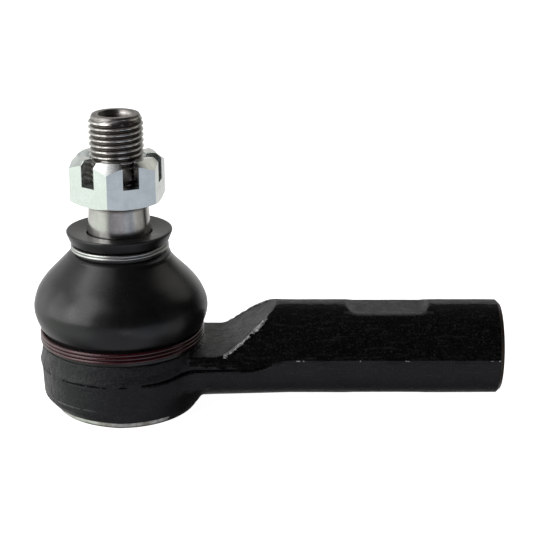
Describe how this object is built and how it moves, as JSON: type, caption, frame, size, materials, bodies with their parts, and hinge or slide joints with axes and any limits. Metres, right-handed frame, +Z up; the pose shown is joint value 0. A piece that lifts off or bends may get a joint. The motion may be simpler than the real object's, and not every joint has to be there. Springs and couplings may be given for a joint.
{
  "type": "tie rod end",
  "caption": "Outer tie rod end: forged black housing with a threaded tubular shank, rubber dust boot, tapered ball stud and slotted castle nut.",
  "frame": {"origin": "centre of the end cap's underside, on the axis of the stud and of the ball", "axes": "+X along the shank towards its threaded end, +Z up the ball stud, +Y completes the right-handed frame"},
  "size_m": [0.1051, 0.039, 0.0672],
  "materials": {
    "forged_black": "satin black coat over a rough forged skin",
    "bare_steel": "ground taper, rolled thread",
    "zinc_plate": "bright zinc plate",
    "rubber": "satin moulded rubber",
    "lacquered_wire": "glossy dark red lacquer",
    "plated_wire": "bright plated",
    "pom": "natural acetal",
    "spring_steel": "oil-dark spring steel"
  },
  "bodies": {
    "housing": {"housing": "forged_black", "end_cap": "zinc_plate", "preload_spring": "spring_steel", "lower_seat": "pom", "upper_seat": "pom", "boot_lower_ring": "lacquered_wire"},
    "boot": {"boot": "rubber"},
    "boot_neck": {"boot_upper_ring": "plated_wire"},
    "stud": {"ball_stud": "bare_steel"},
    "nut": {"castle_nut": "zinc_plate"}
  },
  "joints": [
    {"name": "boot_swivel", "type": "hinge", "parent": "housing", "child": "boot", "pos_m": [0, 0, 0.012], "axis": [0, 0, 1], "continuous": true},
    {"name": "stud_tilt", "type": "hinge", "parent": "boot", "child": "boot_neck", "pos_m": [0, 0, 0.012], "axis": [0, 1, 0], "range_deg": [-25, 25], "deforming": ["boot"]},
    {"name": "stud_spin", "type": "hinge", "parent": "boot_neck", "child": "stud", "pos_m": [0, 0, 0.012], "axis": [0, 0, 1], "continuous": true},
    {"name": "nut_turn", "type": "hinge", "parent": "stud", "child": "nut", "pos_m": [0, 0, 0.053], "axis": [0, 0, 1], "continuous": true}
  ]
}
